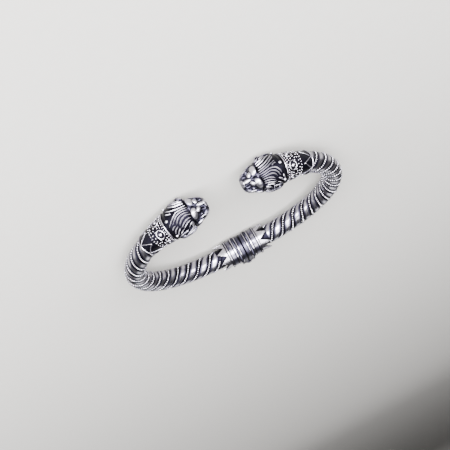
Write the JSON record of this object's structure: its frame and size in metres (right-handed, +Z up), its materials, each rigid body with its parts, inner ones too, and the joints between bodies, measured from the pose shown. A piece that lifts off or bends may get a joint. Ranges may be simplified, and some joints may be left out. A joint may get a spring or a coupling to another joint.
{
  "type": "torc bracelet",
  "caption": "Open cuff of twisted silver rod with granulated collars and cast lion heads facing each other across the gap, hinged at the back in a ribbed sleeve with pointed teeth.",
  "frame": {"origin": "On the floor, under the middle of the whole bracelet as it lies on its side", "axes": "+X towards the right half, across the width of the bracelet; +Y from the hinge to the opening between the heads; +Z up"},
  "size_m": [0.0705, 0.0588, 0.0108],
  "materials": {
    "turned_silver": "oxidised sterling silver, turned and polished",
    "pin_silver": "drawn silver wire, riveted",
    "sheet_silver": "cut silver sheet, polished",
    "twisted_silver": "twisted silver bands, polished on top and black in the grooves",
    "granulated_silver": "granulated silver with an oxidised ground",
    "cast_silver": "cast silver, oxidised and polished on the high spots"
  },
  "bodies": {
    "left_half": {"lion_head_left": "cast_silver", "collar_left": "granulated_silver", "twisted_arm_left": "twisted_silver", "tooth_crown_left": "sheet_silver", "hinge_sleeve_left": "turned_silver", "hinge_pin": "pin_silver"},
    "right_half": {"lion_head_right": "cast_silver", "collar_right": "granulated_silver", "twisted_arm_right": "twisted_silver", "tooth_crown_right": "sheet_silver", "hinge_sleeve_right": "turned_silver"}
  },
  "joints": [
    {"name": "sleeve_hinge", "type": "hinge", "parent": "left_half", "child": "right_half", "pos_m": [0, -0.02848, 0.00437], "axis": [0, 0.0156, -0.9999], "range_deg": [0, 30], "stiffness_Nm_per_rad": 0.04}
  ]
}
